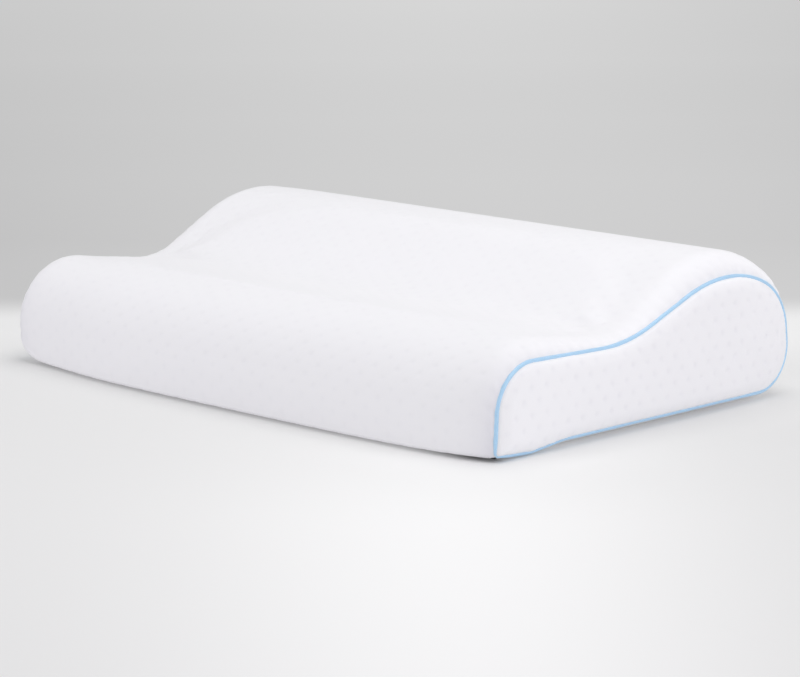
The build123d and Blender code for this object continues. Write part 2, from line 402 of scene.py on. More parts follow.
def thick_grid(name, outer, thickness, uv):
    """A closed piece of cloth: a fine outer face, and a coarser inner face below it. Also
    returns which of the two faces' points it has kept."""
    rows, count = outer.shape[:2]
    inner = outer - normals_of(outer) * thickness
    total = rows * count
    faces = grid_faces(rows, count)
    faces += [[total + k for k in face] for face in coarse_faces(rows, count)]
    border = grid_border(rows, count)
    faces += [[b, a, a + total, b + total] for a, b in zip(border, border[1:] + border[:1])]
    points = np.concatenate([outer.reshape(-1, 3), inner.reshape(-1, 3)])
    uv = np.concatenate([uv.reshape(-1, 2)] * 2)
    used = np.array(sorted({index for face in faces for index in face}))
    new_index = np.zeros(2 * total, dtype=int)
    new_index[used] = np.arange(len(used))
    faces = [new_index[face].tolist() for face in faces]
    return make_object(name, points[used], faces, uv[used]), used


def spread(values, size):
    """Rows of values, drawn out smoothly to this many rows."""
    places = np.linspace(0, len(values) - 1, size)
    low = np.clip(places.astype(int), 0, len(values) - 2)
    t = (places - low)[:, None, None]
    at = [values[np.clip(low + k, 0, len(values) - 1)] for k in (-1, 0, 1, 2)]
    return 0.5 * (
        2 * at[1]
        + (at[2] - at[0]) * t
        + (2 * at[0] - 5 * at[1] + 4 * at[2] - at[3]) * t**2
        + (3 * at[1] - at[0] - 3 * at[2] + at[3]) * t**3
    )


def upsampled(coarse, rows, count):
    """A coarse grid of values spread smoothly over a fine one."""
    down = spread(coarse, rows)
    return spread(down.transpose(1, 0, 2), count).transpose(1, 0, 2)


# --- Cloth simulation ---

# The cloth is a thinned grid that starts a little inside its shape and ends within the cap of it.
# SIM_LEAST stands in for a travel of 0, which nothing can be divided by.
SIM_SKIP = 4
SIM_INSET = 1.2
SIM_CAP = 3.2
SIM_LEAST = 0.001
SIM_FRAMES = 20
SIM_HELD = "held"
SIM_CLOTH = {
    "quality": 6,
    "mass": 0.3,
    "tension_stiffness": 30,
    "compression_stiffness": 30,
    "shear_stiffness": 10,
    "bending_stiffness": 0.8,
    "use_pressure": True,
    "uniform_pressure_force": 4.0,
    "vertex_group_mass": SIM_HELD,
}


def simulated(points, faces, pinned):
    """Where cloth of this shape goes when it is blown up a little, with some points held."""
    made = make_object("cloth_trial", points, faces)
    pins = made.vertex_groups.new(name=SIM_HELD)
    pins.add([int(k) for k in pinned], 1.0, "REPLACE")
    cloth = made.modifiers.new("cloth", "CLOTH")
    for setting, value in SIM_CLOTH.items():
        setattr(cloth.settings, setting, value)
    cloth.settings.effector_weights.gravity = 0
    cloth.collision_settings.use_collision = False
    cloth.collision_settings.use_self_collision = False
    cloth.point_cache.frame_start = 1
    cloth.point_cache.frame_end = SIM_FRAMES
    scene = bpy.context.scene
    for number in range(1, SIM_FRAMES + 1):
        scene.frame_set(number)
    graph = bpy.context.evaluated_depsgraph_get()
    mesh = made.evaluated_get(graph).to_mesh()
    moved = np.zeros(len(mesh.vertices) * 3)
    mesh.vertices.foreach_get("co", moved)
    scene.frame_set(1)
    bpy.data.objects.remove(made)
    return moved.reshape(-1, 3) / MM


def puffed(coarse):
    """How far each point of a coarse panel grid moves when the cloth is blown up. It never moves
    inward, as the foam holds it out."""
    rows, count = coarse.shape[:2]
    normals = normals_of(coarse)
    start = (coarse - normals * SIM_INSET).reshape(-1, 3)
    border = np.array(grid_border(rows, count))
    start[border] = coarse.reshape(-1, 3)[border]
    moved = simulated(start, grid_faces(rows, count), border)
    step = moved.reshape(coarse.shape) - coarse
    size = np.linalg.norm(step, axis=2, keepdims=True)
    step *= np.minimum(1.0, SIM_CAP / np.maximum(size, SIM_LEAST))
    outward = (step * normals).sum(axis=2, keepdims=True)
    return step - normals * np.minimum(outward, 0)


# --- How the left end settles ---

# The left end's front foot rides up off the floor
LIFT_HEIGHT = 14.0
LIFT_FROM_X = -250.0
LIFT_LENGTH = 43.0
LIFT_MOST = 1.2
LIFT_POWER = 2.4
LIFT_TURN_Y = (-174.0, -122.0)
LIFT_TURN_Z = (0.0, 62.0)
ZIP_LIFT_TURN = (-269.0, -284.0)
# Its top sinks a little, most of all in the valley
SINK_DEPTH = 1.7
SINK_PLACE_X = (-293.0, 45.0)
SINK_TURN_Y = (-145.0, -100.0)
SINK_TURN_Z = (40.0, 75.0)
VALLEY_SHARE = 1.2
VALLEY_PLACE_Y = (-12.0, 28.0)


def settled(points):
    """Every soft layer's points, where the left end rides up at the front and sinks on top."""
    x, y, z = points[..., 0], points[..., 1], points[..., 2]
    lift = np.clip((LIFT_FROM_X - x) / LIFT_LENGTH, 0, LIFT_MOST) ** LIFT_POWER
    lift = lift * (1 - smooth_step(y, *LIFT_TURN_Y)) * (1 - smooth_step(z, *LIFT_TURN_Z))
    sink = hump(x, *SINK_PLACE_X) * smooth_step(y, *SINK_TURN_Y) * smooth_step(z, *SINK_TURN_Z)
    sink = sink * (1 + VALLEY_SHARE * hump(y, *VALLEY_PLACE_Y))
    moved = points.copy()
    moved[..., 2] += LIFT_HEIGHT * lift - SINK_DEPTH * sink
    return moved


def settled_zip(points):
    """The zip stays level as far as its slider runs, and past the end stop it follows the cloth."""
    share = smooth_step(points[..., 0], *ZIP_LIFT_TURN)
    return points + (settled(points) - points) * share[..., None]


# --- Cover panels ---

# Puckers by the end seams: how deep, how far from the seam they start and reach, and the waves
# along it that they are made of, as (share, length, start)
PUCKER_DEPTH = 0.45
PUCKER_START = 2.25
PUCKER_REACH = 9.0
PUCKER_WAVES = ((1.0, 13.0, 0.0), (0.7, 29.9, 1.0))
# How far the dimples stay from the end seams, from the hems and from an end panel's edge
SEAM_MARGIN = 4.0
HEM_MARGIN = 3.0
END_MARGIN = 5.0

# The front foot sags and spreads along the middle of its length
FOOT_SAG = 3.2
FOOT_SPREAD = 8.5
FOOT_SPREAD_TURN = (-293.0, -140.0)
FOOT_HALF_LENGTH = 288.0
FOOT_POWER = 6
FOOT_REACH = 13.0
FOOT_LENGTH = 9.3
FRONT_REACH = 55.0

# At the left end the wrap rolls a little over the piping
LEFT_ROLL = 0.6
LEFT_ROLL_REACH = 9.0

# The end panels' edges are rounded, less so at the rear, and domed further in. Their points lie
# a step apart, and off the border by a share of it.
REAR_CROWN_DROP = 3.2
REAR_CROWN_TURN = (110.0, 165.0)
DOME_HEIGHT = 2.0
DOME_REACH = 25.0
END_STEP = 1.45
END_BORDER_ROOM = 0.7
SAME_PLACE = 1e-5

# A small fold of the bottom cloth hangs below the piping by the right front corner
FOLD_DROP = 2.0
FOLD_PLACE_X = (288.0, 8.0)
FOLD_PLACE_Y = (-164.0, 7.0)


def puckers(along_seam, from_seam):
    """Small folds that run into a seam, in millimetres."""
    wave = sum(
        share * np.sin(math.tau * along_seam / length + start)
        for share, length, start in PUCKER_WAVES
    )
    near = np.exp(-from_seam / PUCKER_REACH) * (1 - np.exp(-from_seam / PUCKER_START))
    return PUCKER_DEPTH * wave * near


def clear_of(distance, margin):
    """0 within the margin of an edge, 1 from twice as far, and even between them."""
    return np.clip(distance / margin - 1, 0, 1)


def side_cloth(which):
    """One side panel's outer face, puffed up, dimpled and flat where it meets the floor. Also
    returns its lengths along both ways, and how far each point is from the end seams."""
    grid, lengths = panel_grid(which)
    rows, count = grid.shape[:2]
    u = cloth_lengths(grid)
    v = np.repeat((lengths - lengths[0])[:, None], count, axis=1)
    coarse, _ = panel_grid(which, SIM_SKIP)
    grid = grid + upsampled(puffed(coarse), rows, count)
    from_seam = np.minimum(u - u[:, [0]], u[:, [-1]] - u)
    clear = clear_of(from_seam, SEAM_MARGIN) * clear_of(v, HEM_MARGIN)
    height = puckers(v, from_seam) - WRAP_DIMPLE_DEPTH * dimples(u, v, WRAP_REPEAT) * clear
    if which == WRAP_MARKS:
        height += left_roll(u - u[:, [0]], v)
    grid = grid + normals_of(grid) * height[..., None]
    grid = settled(spread_foot(grid, v) if which == WRAP_MARKS else folded_corner(grid))
    grid[..., 2] = np.maximum(grid[..., 2], 0)
    return grid, u, v, from_seam


def left_roll(from_left, v):
    """How far the wrap stands out next to the left end's seam."""
    reached = from_left / LEFT_ROLL_REACH
    return LEFT_ROLL * reached * np.exp(1 - reached) * smooth_step(v, FOOT_LENGTH, 4 * FOOT_LENGTH)


def spread_foot(grid, v):
    """The wrap with its front foot sagging and spreading along the middle of its length."""
    middle = np.clip(1 - (grid[..., 0] / FOOT_HALF_LENGTH) ** FOOT_POWER, 0, 1)
    middle = middle * np.clip(v / FOOT_LENGTH, 0, 1)
    moved = grid.copy()
    moved[..., 2] -= FOOT_SAG * middle * hump(v, FOOT_LENGTH, FOOT_REACH)
    middle = middle * smooth_step(grid[..., 0], *FOOT_SPREAD_TURN)
    upward = np.maximum(v, FOOT_LENGTH)
    moved[..., 1] -= FOOT_SPREAD * middle * hump(upward, FOOT_LENGTH, FRONT_REACH)
    return moved


def folded_corner(grid):
    """The bottom panel with its small hanging fold."""
    lowered = grid.copy()
    fold = hump(grid[..., 0], *FOLD_PLACE_X) * hump(grid[..., 1], *FOLD_PLACE_Y)
    lowered[..., 2] -= FOLD_DROP * fold
    return lowered


def signed_room(points, border):
    """How far inside the border each point lies, negative outside."""
    nearest = np.full(len(points), np.inf)
    crossings = np.zeros(len(points), dtype=int)
    for start, end in zip(border, np.roll(border, -1, axis=0)):
        arm = end - start
        t = np.clip((points - start) @ arm / (arm @ arm), 0, 1)
        nearest = np.minimum(nearest, np.linalg.norm(points - start - t[:, None] * arm, axis=1))
        above = (start[1] > points[:, 1]) != (end[1] > points[:, 1])
        if abs(arm[1]) > 0:
            cross_y = start[0] + (points[:, 1] - start[1]) / arm[1] * arm[0]
            crossings += above & (points[:, 0] < cross_y)
    return np.where(crossings % 2 == 1, nearest, -nearest)


def end_triangles(border):
    """Even points over an end panel, and the triangles between them."""
    low, high = border.min(axis=0), border.max(axis=0)
    row_step = END_STEP * math.sqrt(3) / 2
    inside = []
    for row, z in enumerate(np.arange(low[1] + row_step, high[1], row_step)):
        shift = END_STEP / 2 * (row % 2)
        inside += [(y + shift, z) for y in np.arange(low[0], high[0], END_STEP)]
    inside = np.array(inside)
    inside = inside[signed_room(inside, border) > END_STEP * END_BORDER_ROOM]
    flat = np.concatenate([border, inside])
    edges = [(k, (k + 1) % len(border)) for k in range(len(border))]
    spots, _, faces, *_ = delaunay_2d_cdt([Vector(p) for p in flat], edges, [], 1, SAME_PLACE)
    return np.array([tuple(p) for p in spots]), faces


def end_panel(name, side):
    """A domed, dimpled end panel. side is -1 at the left and 1 at the right."""
    border = end_outline(side, END_STEP)
    spots, faces = end_triangles(border)
    room = np.maximum(signed_room(spots, border), 0)
    crown = CROWN_HEIGHT - REAR_CROWN_DROP * smooth_step(spots[:, 0], *REAR_CROWN_TURN)
    rise = crown * np.sqrt(1 - (1 - np.clip(room / CROWN_INSET, 0, 1)) ** 2)
    domed = 1 - np.exp(-np.maximum(room - CROWN_INSET / 2, 0) / DOME_REACH)
    rise += (DOME_HEIGHT + CROWN_HEIGHT - crown) * domed
    hollows = dimples(spots[:, 0], spots[:, 1], END_REPEAT) * clear_of(room, END_MARGIN)
    outer = np.column_stack([side * (SEAM_X + rise - END_DIMPLE_DEPTH * hollows), spots])
    faces = [list(face) if side > 0 else list(reversed(face)) for face in faces]
    return make_object(name, settled(outer), faces, spots)


# --- Piping ---

# A direction across the end seams, and one that no wire or thread runs along
X_AXIS = np.array([1.0, 0.0, 0.0])
OFF_AXIS = np.array([0.31, 0.53, 0.79])
PIPING_STEP = 1.2
PIPING_SIDES = 14
# The sleeve's creases, as (height, length, turns round the sleeve), and how it swells along the
# cord, as (height, reach)
PIPING_CREASE = (0.05, 3.4, 2)
PIPING_SWELLS = ((0.06, 17.0), (0.04, 7.3))
PIPING_PINCH = 0.4
PIPING_PINCH_PLACE = (40.0, 8.0)
CORD_STEP = 0.9
CORD_LAY = 7.0
CORD_STRANDS = 3
CORD_SIDES = 6
STRAND_SHARE = 0.46


def tube_points(path, ahead, axis, radius, sides):
    """Rings of points round a path. radius is a number, or one for each point of each ring."""
    across = unit(np.cross(ahead, axis))
    over = np.cross(across, ahead)
    angles = math.tau * np.arange(sides) / sides
    size = np.broadcast_to(radius, (len(path), sides))[..., None]
    cosines, sines = np.cos(angles)[None, :, None], np.sin(angles)[None, :, None]
    return (path[:, None] + size * (cosines * across[:, None] + sines * over[:, None])).reshape(-1, 3)


def tube_quads(index):
    """Quads between the rings of a closed tube, from the index of each point (ring, side)."""
    turned = np.roll(index, -1, axis=1)
    return np.stack([index, turned, np.roll(turned, -1, axis=0), np.roll(index, -1, axis=0)], axis=-1)


def closed_directions(path):
    """The way a closed path runs at each of its points."""
    return unit(np.roll(path, -1, axis=0) - np.roll(path, 1, axis=0))


def closed_tube(path, radius, sides):
    """Points, faces and UV of a tube round a closed path near a plane of constant x. radius is a
    number, or a function of the length run and the angles round the tube."""
    run = run_along(path)[:, None]
    angles = (math.tau * np.arange(sides) / sides)[None, :]
    size = radius(run, angles) if callable(radius) else radius
    points = tube_points(path, closed_directions(path), X_AXIS, size, sides)
    uv = np.stack(np.broadcast_arrays(run, angles * PIPING_RADIUS), axis=-1)
    quads = tube_quads(np.arange(len(points)).reshape(-1, sides))
    return points, quads.reshape(-1, 4).tolist(), uv.reshape(-1, 2)


def tube(path, radius, sides):
    """Points and faces of an open tube along a path, closed by a face at each end."""
    points = tube_points(path, unit(np.gradient(path, axis=0)), OFF_AXIS, radius, sides)
    index = np.arange(len(points)).reshape(-1, sides)
    quads = tube_quads(index)[:-1].reshape(-1, 4).tolist()
    return points, quads + [index[0][::-1].tolist(), index[-1].tolist()]


def seam_path(side, step):
    """The end seam's line as points in 3D."""
    return settled(at_x(side * SEAM_X, end_outline(side, step)))


def piping_radius(run, angles):
    """The sleeve's radius: bias creases, slight unevenness along the cord, and a pinch at the
    front bottom corner."""
    height, length, turns = PIPING_CREASE
    crease = height * np.sin(math.tau * run / length + turns * angles)
    uneven = sum(swell * np.sin(run / reach) for swell, reach in PIPING_SWELLS)
    pinch = 1 - PIPING_PINCH * hump(run, *PIPING_PINCH_PLACE)
    return (PIPING_RADIUS + crease + uneven) * pinch


def piping_cord(name, side):
    """Three twisted strands of cotton inside the piping."""
    path = seam_path(side, CORD_STEP)
    inward = np.cross(closed_directions(path), X_AXIS)
    turns = round(run_along(path)[-1] / CORD_LAY)
    twist = math.tau * turns * np.arange(len(path)) / len(path)
    strand_radius = CORD_RADIUS * STRAND_SHARE
    offset = CORD_RADIUS - strand_radius
    strands, uv = [], []
    for strand in range(CORD_STRANDS):
        angle = (twist + math.tau * strand / CORD_STRANDS)[:, None]
        line = path + offset * (np.cos(angle) * inward + np.sin(angle) * X_AXIS)
        *shape, own_uv = closed_tube(line, strand_radius, CORD_SIDES)
        strands.append(shape)
        uv.append(own_uv)
    return make_object(name, *joined(strands), np.concatenate(uv))


# --- Liner and foam ---

LINER_REACH = SEAM_X - LINER_INNER_DEPTH
RING_POINTS = 220
RING_SKIP = 2
RING_ROOM = 0.5
CROWN_STEPS = 7


def layer_corners(corners):
    """The cover's corners without the zip's rise, for the layers inside it."""
    kept = corners[:-UNDERSIDE_CORNERS]
    return ((kept[0][0], kept[-1][1], kept[0][2]), *kept[1:])


def layer_ring(x, depth, inset=0.0, rise=0.0):
    """Points round an inner layer at x, in step with its other rings. Past the seam the ring is
    the seam's own, moved in by inset and out along X by rise."""
    _, run, middles = outline(section(0.0, depth, layer_corners))
    lengths = np.linspace(0, run[-1], RING_POINTS + 1)[:-1]
    corners = section(x, depth, layer_corners)
    points, own_run, own_middles = outline(moved_in(corners, inset) if inset else corners)
    own = np.interp(lengths, [0, *run[middles]], [0, *own_run[own_middles]])
    flat = along(points, own_run, own)
    extra = depth - LINER_DEPTH
    over_zip = flat[:, 0] < STEP_REAR_Y + extra
    flat[over_zip, 1] = np.maximum(flat[over_zip, 1], STEP_TOP + extra)
    return settled(at_x(x + math.copysign(rise, x), flat))


def crown_rings(side, depth):
    """Rings from the end seam of a layer to the edge of its flat end."""
    seam_x = side * (SEAM_X - depth)
    angles = np.linspace(0, math.pi / 2, CROWN_STEPS + 1)[1:]
    return [
        layer_ring(seam_x, depth, CROWN_INSET * (1 - math.cos(a)), CROWN_HEIGHT * math.sin(a))
        for a in angles
    ]


def side_rings(depth, reach):
    """Rings along a layer, from -reach to reach."""
    x_values = columns()[::RING_SKIP] * (SEAM_X - depth) / SEAM_X
    inside = x_values[np.abs(x_values) < reach - RING_ROOM]
    return [layer_ring(x, depth) for x in (-reach, *inside, reach)]


def lofted(name, outer, inner=(), start_cap=False, end_cap=False):
    """A closed mesh through rings. With inner rings it is a shell: a tube, or a cup where the
    end is capped."""
    count = len(outer[0])
    index = np.arange((len(outer) + len(inner)) * count).reshape(-1, count)
    faces = []
    for ring_rows in (index[: len(outer)], index[len(outer) :]):
        if len(ring_rows):
            faces += tube_quads(ring_rows)[:-1].reshape(-1, 4).tolist()
            faces += [ring_rows[0].tolist()] * start_cap + [ring_rows[-1].tolist()] * end_cap
    if len(inner):
        open_ends = [(0, len(outer))] * (not start_cap) + [(len(outer) - 1, -1)] * (not end_cap)
        for one, other in open_ends:
            faces += tube_quads(index[[one, other]])[:-1].reshape(-1, 4).tolist()
    return closed_object(name, np.concatenate([*outer, *inner]), faces)


def foam_core():
    """The foam as one closed block, with rounded ends."""
    left = crown_rings(-1, FOAM_DEPTH)[::-1]
    rings = [*left, *side_rings(FOAM_DEPTH, SEAM_X - FOAM_DEPTH), *crown_rings(1, FOAM_DEPTH)]
    return lofted("foam_block", rings, start_cap=True, end_cap=True)


def liner_wrap():
    """The liner's tube round the foam, from one end seam to the other."""
    outer, inner = [side_rings(depth, LINER_REACH) for depth in (LINER_DEPTH, LINER_INNER_DEPTH)]
    return lofted("liner_tube", outer, inner)


def liner_end(name, side):
    """The liner's cap over one end of the foam."""
    outer, inner = [
        [layer_ring(side * LINER_REACH, depth), *crown_rings(side, depth)]
        for depth in (LINER_DEPTH, LINER_INNER_DEPTH)
    ]
    return lofted(name, outer, inner, end_cap=True)


# --- Zip ---

COIL_PITCH = 1.3
COIL_WIRE_RADIUS = 0.26
COIL_TURN_POINTS = 12
COIL_WIRE_SIDES = 5
COIL_INNER_Y = 0.4
TAPE_STEP = 3.0
TAPE_HEM_ROOM = 1.0
TAPE_WAVE = 0.12
TAPE_WAVE_REACHES = (23.0, 9.1)
STITCH_LENGTH = 2.5
STITCH_PITCH = 3.4
STITCH_RADIUS = 0.24
STITCH_POINTS = 5
STITCH_SIDES = 6
STITCH_BURIED = 0.45
STITCH_END_ROOM = 6.8
STITCH_ROW = 1


def node_box(node):
    """The low and high corners of a CAD solid, in millimetres."""
    return [np.array(corner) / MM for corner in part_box(node)]


def zip_coil(name, node, side):
    """One side of the chain: a fine wire wound into a flattened coil."""
    low, high = node_box(node)
    outer_y = ZIP_Y + side * (max(abs(low[1] - ZIP_Y), abs(high[1] - ZIP_Y)) - COIL_WIRE_RADIUS)
    inner_y = ZIP_Y + side * (COIL_INNER_Y + COIL_WIRE_RADIUS)
    middle_z = (low[2] + high[2]) / 2
    half_height = (high[2] - low[2]) / 2 - COIL_WIRE_RADIUS
    first, last = low[0] + COIL_WIRE_RADIUS, high[0] - COIL_WIRE_RADIUS
    turns = int((last - first) / COIL_PITCH)
    angle = np.linspace(0, math.tau * turns, turns * COIL_TURN_POINTS + 1)
    x = first + (last - first) * angle / angle[-1]
    y = (outer_y + inner_y) / 2 + (outer_y - inner_y) / 2 * np.cos(angle)
    z = middle_z + half_height * np.sin(angle)
    path = settled_zip(np.column_stack([x, y, z]))
    return closed_object(name, *tube(path, COIL_WIRE_RADIUS, COIL_WIRE_SIDES))


def zip_tape(name, node, side):
    """One woven tape, a thin strip with rounded edges that ripples slightly."""
    low, high = node_box(node)
    thickness = high[2] - low[2]
    lip = thickness / 3
    near = ZIP_Y + side * min(abs(low[1] - ZIP_Y), abs(high[1] - ZIP_Y))
    rings = []
    for x in np.linspace(low[0], high[0], int((high[0] - low[0]) / TAPE_STEP)):
        far = low[1] if side < 0 else high[1]
        if side < 0:
            far = max(far, section(x, COVER_THICKNESS)[0][0] + TAPE_HEM_ROOM)
        wave = math.sin(x / TAPE_WAVE_REACHES[0]) * math.sin(x / TAPE_WAVE_REACHES[1])
        base = low[2] + max(TAPE_WAVE * wave, 0.0)
        top = base + thickness
        half_ring = [near, near + side * lip, far - side * lip, far]
        y = half_ring + half_ring[::-1]
        z = [base + lip, base, base, base + lip, top - lip, top, top, top - lip]
        rings.append(settled_zip(at_x(x, np.column_stack([y, z]))))
    return lofted(name, rings, start_cap=True, end_cap=True)


def hem_stitches(name, paths):
    """Rows of topstitching along the zip's hems, each stitch a short arch of thread."""
    arch = STITCH_RADIUS * (np.sin(np.linspace(0, math.pi, STITCH_POINTS)) - STITCH_BURIED)
    stitches = []
    for path in paths:
        run = run_along(path)
        for start in np.arange(STITCH_END_ROOM, run[-1] - STITCH_END_ROOM, STITCH_PITCH):
            places = start + np.linspace(0, STITCH_LENGTH, STITCH_POINTS)
            line = np.column_stack([np.interp(places, run, path[:, k]) for k in range(3)])
            line[:, 2] -= arch
            stitches.append(tube(line, STITCH_RADIUS, STITCH_SIDES))
    return closed_object(name, *joined(stitches))


# --- Numbers worked out by a material's nodes ---

class Value:
    """A number, vector or colour that a node gives. It adds and multiplies like a number."""

    def __init__(self, socket):
        self.socket = socket
        self.tree = socket.id_data

    def maths(self, operation, other=0.0):
        """What a Math node makes of this value and another one, or a number."""
        node = add_node(self.tree, "Math", {0: self, 1: other})
        node.operation = operation
        return Value(node.outputs[0])

    def __add__(self, other):
        return self.maths("ADD", other)

    def __sub__(self, other):
        return self.maths("SUBTRACT", other)

    def __mul__(self, other):
        return self.maths("MULTIPLY", other)


def feed(socket, given):
    """Links an input to a value, or sets it to a constant."""
    if isinstance(given, Value):
        given.tree.links.new(given.socket, socket)
    else:
        socket.default_value = given


def add_node(tree, kind, inputs):
    """A new node with these inputs, each a value or a constant."""
    node = tree.nodes.new("ShaderNode" + kind)
    for name, given in inputs.items():
        feed(node.inputs[name], given)
    return node


def smooth_range(value, low, high):
    """0 where value is below low, 1 above high, and smooth between them."""
    inputs = {"Value": value, "From Min": low, "From Max": high}
    node = add_node(value.tree, "MapRange", inputs)
    node.interpolation_type = "SMOOTHSTEP"
    return Value(node.outputs["Result"])


def fading(value, low, high):
    """1 where value is below low, 0 above high, and smooth between them."""
    return smooth_range(value, low, high) * -1.0 + 1.0


def bell(value, middle, width):
    """A smooth hump of height 1 round the middle."""
    off = (value - middle) * (1 / width)
    return (off * off * -1.0).maths("EXPONENT")


def noise(vector, scale, detail=2.0):
    """A noise texture's value."""
    inputs = {"Vector": vector, "Scale": scale, "Detail": detail}
    return Value(add_node(vector.tree, "TexNoise", inputs).outputs["Fac"])


def ramp(factor, stops):
    """A colour that runs through stops of (position, colour)."""
    node = add_node(factor.tree, "ValToRGB", {"Fac": factor})
    elements = node.color_ramp.elements
    while len(elements) < len(stops):
        elements.new(0.5)
    for element, (position, colour) in zip(elements, stops):
        element.position = position
        element.color = (*colour, 1.0)
    return Value(node.outputs["Color"])


def ridges(value, length):
    """A wave of that length in millimetres along value, from 0 to 1."""
    wave = (value * (math.tau / (length * MM))).maths("SINE")
    return wave * 0.5 + 0.5


def from_nearest(value, repeat, shift):
    """The distance from value to the nearest whole repeat, shifted by a share of it."""
    share = value * (1 / repeat) + shift
    return (share - share.maths("ROUND")) * repeat


def dimple_mask(u, v, repeat):
    """1 in the middle of each dimple of the knit, and 0 between them."""
    masks = []
    for shift in CENTRED_ROWS:
        off_u = from_nearest(u, repeat[0] * MM, shift)
        off_v = from_nearest(v, repeat[1] * MM, shift)
        squared = off_u * off_u + off_v * off_v
        masks.append((squared * (-1 / (DIMPLE_RADIUS * MM) ** 2)).maths("EXPONENT"))
    return masks[0].maths("MAXIMUM", masks[1])


# --- Materials ---

# Lengths are in millimetres, and noise scales in waves to the metre. COLOURS run from tone 0 to
# tone 1. A BUMP is (strength, distance), and a MIX is (pattern's share, noise's share, scale).
# Painted shade: the knit on the front face is darkened next to the end seams.
SEAM_SHADE = "seam_shade"
SEAM_SHADE_REACH = 11.0
SEAM_SHADE_TURN = (50.0, 115.0)
# The knit's own white, and a greyer lavender that is its painted shade, used in the dimples and by
# the seams; random patches also lean towards it.
KNIT_COLOURS = ((0.87, 0.868, 0.89), (0.71, 0.705, 0.76))
KNIT_LOOP = (1.15, 0.9)
KNIT_FUZZ_SCALE = 900.0
KNIT_PATCH_SCALE = 22.0
KNIT_PATCH_TURN = (0.2, 0.6)
KNIT_TONES = {"patch": 0.05, "loop": 0.03}
KNIT_RELIEF = {"loop": 0.16, "fuzz": 0.12, "dimple": 0.3}
KNIT_BUMP = (0.5, 0.4)
KNIT_SHADER = {
    "Roughness": 0.85,
    "Sheen Weight": 0.25,
    "Sheen Roughness": 0.5,
    "Specular IOR Level": 0.25,
}
PIPING_COLOURS = ((0.31, 0.555, 0.815), (0.50, 0.73, 0.91))
PIPING_RIB = 0.9
PIPING_MIX = (0.5, 0.5, 600.0)
PIPING_BUMP = (0.3, 0.2)
PIPING_SHADER = {
    "Roughness": 0.4,
    "Coat Weight": 0.35,
    "Coat Roughness": 0.3,
    "Sheen Weight": 0.2,
}
WEAVE_MIX = (0.6, 0.4, 1500.0)
WEAVE_BUMP = (0.5, 0.15)
WEAVE_SHADER = {"Roughness": 0.8, "Sheen Weight": 0.2}
FOAM_COLOURS = ((0.60, 0.57, 0.50), (0.84, 0.81, 0.73))
FOAM_CELL = 0.9
FOAM_MIX = (0.7, 0.3, 14.0)
FOAM_BUMP = (0.6, 0.3)
FOAM_SHADER = {
    "Roughness": 0.95,
    "Subsurface Weight": 0.15,
    "Subsurface Radius": (0.004, 0.003, 0.002),
}
HARD_MOTTLE = (700.0, 4.0)
HARD_MOTTLE_TONE = 0.5
HARD_MOTTLE_ROUGHNESS = 0.12
HARD_EDGE = (0.52, 0.62)
HARD_BUMP = (0.15, 0.05)


def new_material(name, settings, kind):
    """A material, its shader's inputs, and that kind of texture coordinates: the vector and its
    first two parts. settings gives the shader's constants."""
    material = bpy.data.materials.new(name)
    material.use_nodes = True
    tree = material.node_tree
    inputs = tree.nodes["Principled BSDF"].inputs
    for setting, constant in settings.items():
        feed(inputs[setting], constant)
    vector = Value(add_node(tree, "TexCoord", {}).outputs[kind])
    parts = add_node(tree, "SeparateXYZ", {0: vector}).outputs
    return material, inputs, vector, Value(parts[0]), Value(parts[1])


def paint(inputs, tone, colours):
    """Colours a shader from the first colour to the second as tone goes from 0 to 1."""
    feed(inputs["Base Color"], ramp(tone, [(0.0, colours[0]), (1.0, colours[1])]))


def add_bump(inputs, height, bump):
    """Bump on a shader from a height between 0 and 1."""
    settings = {"Height": height, "Strength": bump[0], "Distance": bump[1] * MM}
    feed(inputs["Normal"], Value(add_node(height.tree, "Bump", settings).outputs["Normal"]))


def mixed(pattern, vector, mix):
    """A pattern mixed with noise."""
    return pattern * mix[0] + noise(vector, mix[2]) * mix[1]


def paint_and_bump(inputs, tone, colours, bump):
    """Uses one tone for a shader's colour and for its bump."""
    paint(inputs, tone, colours)
    add_bump(inputs, tone, bump)


def knit_material(name, repeat, dimple_shade):
    """White dimpled knit: fine loops, painted shade in the dimples and on the front by the end seams,
    and a soft sheen.
    """
    material, inputs, vector, u, v = new_material(name, KNIT_SHADER, "UV")
    shade = add_node(vector.tree, "Attribute", {})
    shade.attribute_name = SEAM_SHADE
    mask = dimple_mask(u, v, repeat)
    loops = ridges(u, KNIT_LOOP[0]) * ridges(v, KNIT_LOOP[1])
    patches = noise(vector, KNIT_PATCH_SCALE)
    # Painted shade: each dimple is darkened towards the second colour.
    tone = mask * smooth_range(patches, *KNIT_PATCH_TURN) * dimple_shade
    tone = tone + patches * KNIT_TONES["patch"] - loops * KNIT_TONES["loop"]
    paint(inputs, tone + Value(shade.outputs["Fac"]), KNIT_COLOURS)
    height = loops * KNIT_RELIEF["loop"] + noise(vector, KNIT_FUZZ_SCALE) * KNIT_RELIEF["fuzz"]
    add_bump(inputs, height - mask * KNIT_RELIEF["dimple"], KNIT_BUMP)
    return material


def piping_material(name):
    """Light blue bias-cut sleeve: slanting fine ribs and a slight shine."""
    material, inputs, vector, u, v = new_material(name, PIPING_SHADER, "UV")
    tone = mixed(ridges(u + v, PIPING_RIB), vector, PIPING_MIX)
    paint_and_bump(inputs, tone, PIPING_COLOURS, PIPING_BUMP)
    return material


def woven_material(name, colours, along_size, across_size):
    """A small even weave, by place, for tapes, threads and the cord's yarn."""
    material, inputs, vector, x, y = new_material(name, WEAVE_SHADER, "Object")
    tone = mixed(ridges(x, along_size) * ridges(y, across_size), vector, WEAVE_MIX)
    paint_and_bump(inputs, tone, colours, WEAVE_BUMP)
    return material


